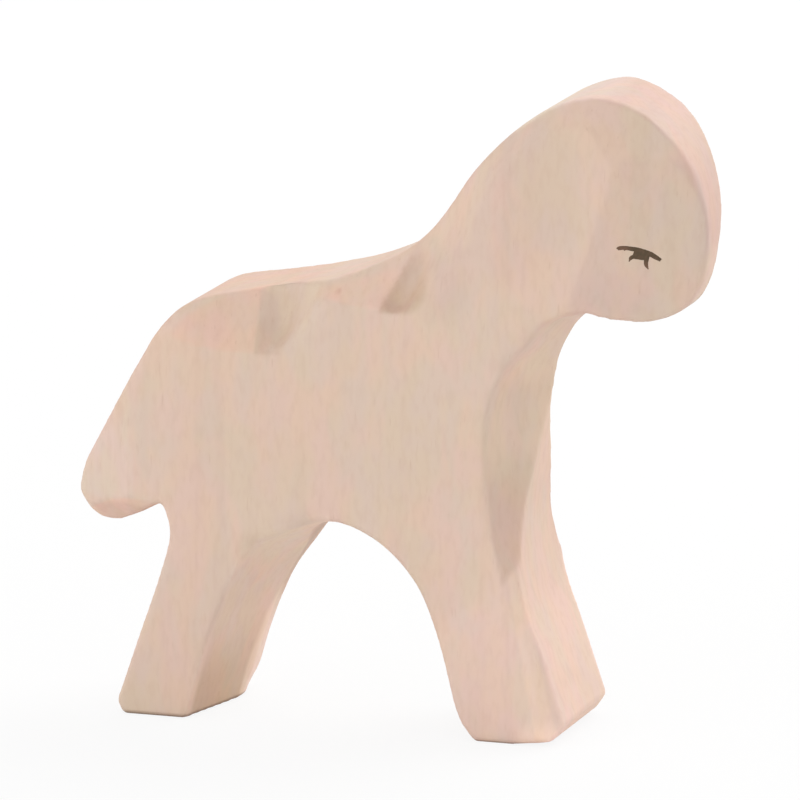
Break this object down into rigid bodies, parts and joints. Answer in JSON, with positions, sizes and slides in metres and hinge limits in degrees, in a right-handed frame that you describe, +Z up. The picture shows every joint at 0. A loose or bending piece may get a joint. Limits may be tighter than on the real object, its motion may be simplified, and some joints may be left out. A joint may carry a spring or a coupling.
{
  "type": "wooden lamb figure",
  "caption": "Small standing lamb carved from a sawn maple board, with faceted edges, a bowed head, a broad tail, an arch between the legs and a drawn eye on each side.",
  "frame": {"origin": "on the surface that the lamb stands on, under the middle of its length and of its thickness", "axes": "+X from the tail to the nose, +Y from the lamb's right side to its left side, across the thickness of the board, +Z up from the soles to the top of the head"},
  "size_m": [0.0648, 0.016, 0.0654],
  "materials": {
    "maple": "satin",
    "eye_paint": "matte"
  },
  "bodies": {
    "root": {"lamb_body": "maple", "painted_eye_right": "eye_paint", "painted_eye_left": "eye_paint"}
  },
  "joints": []
}
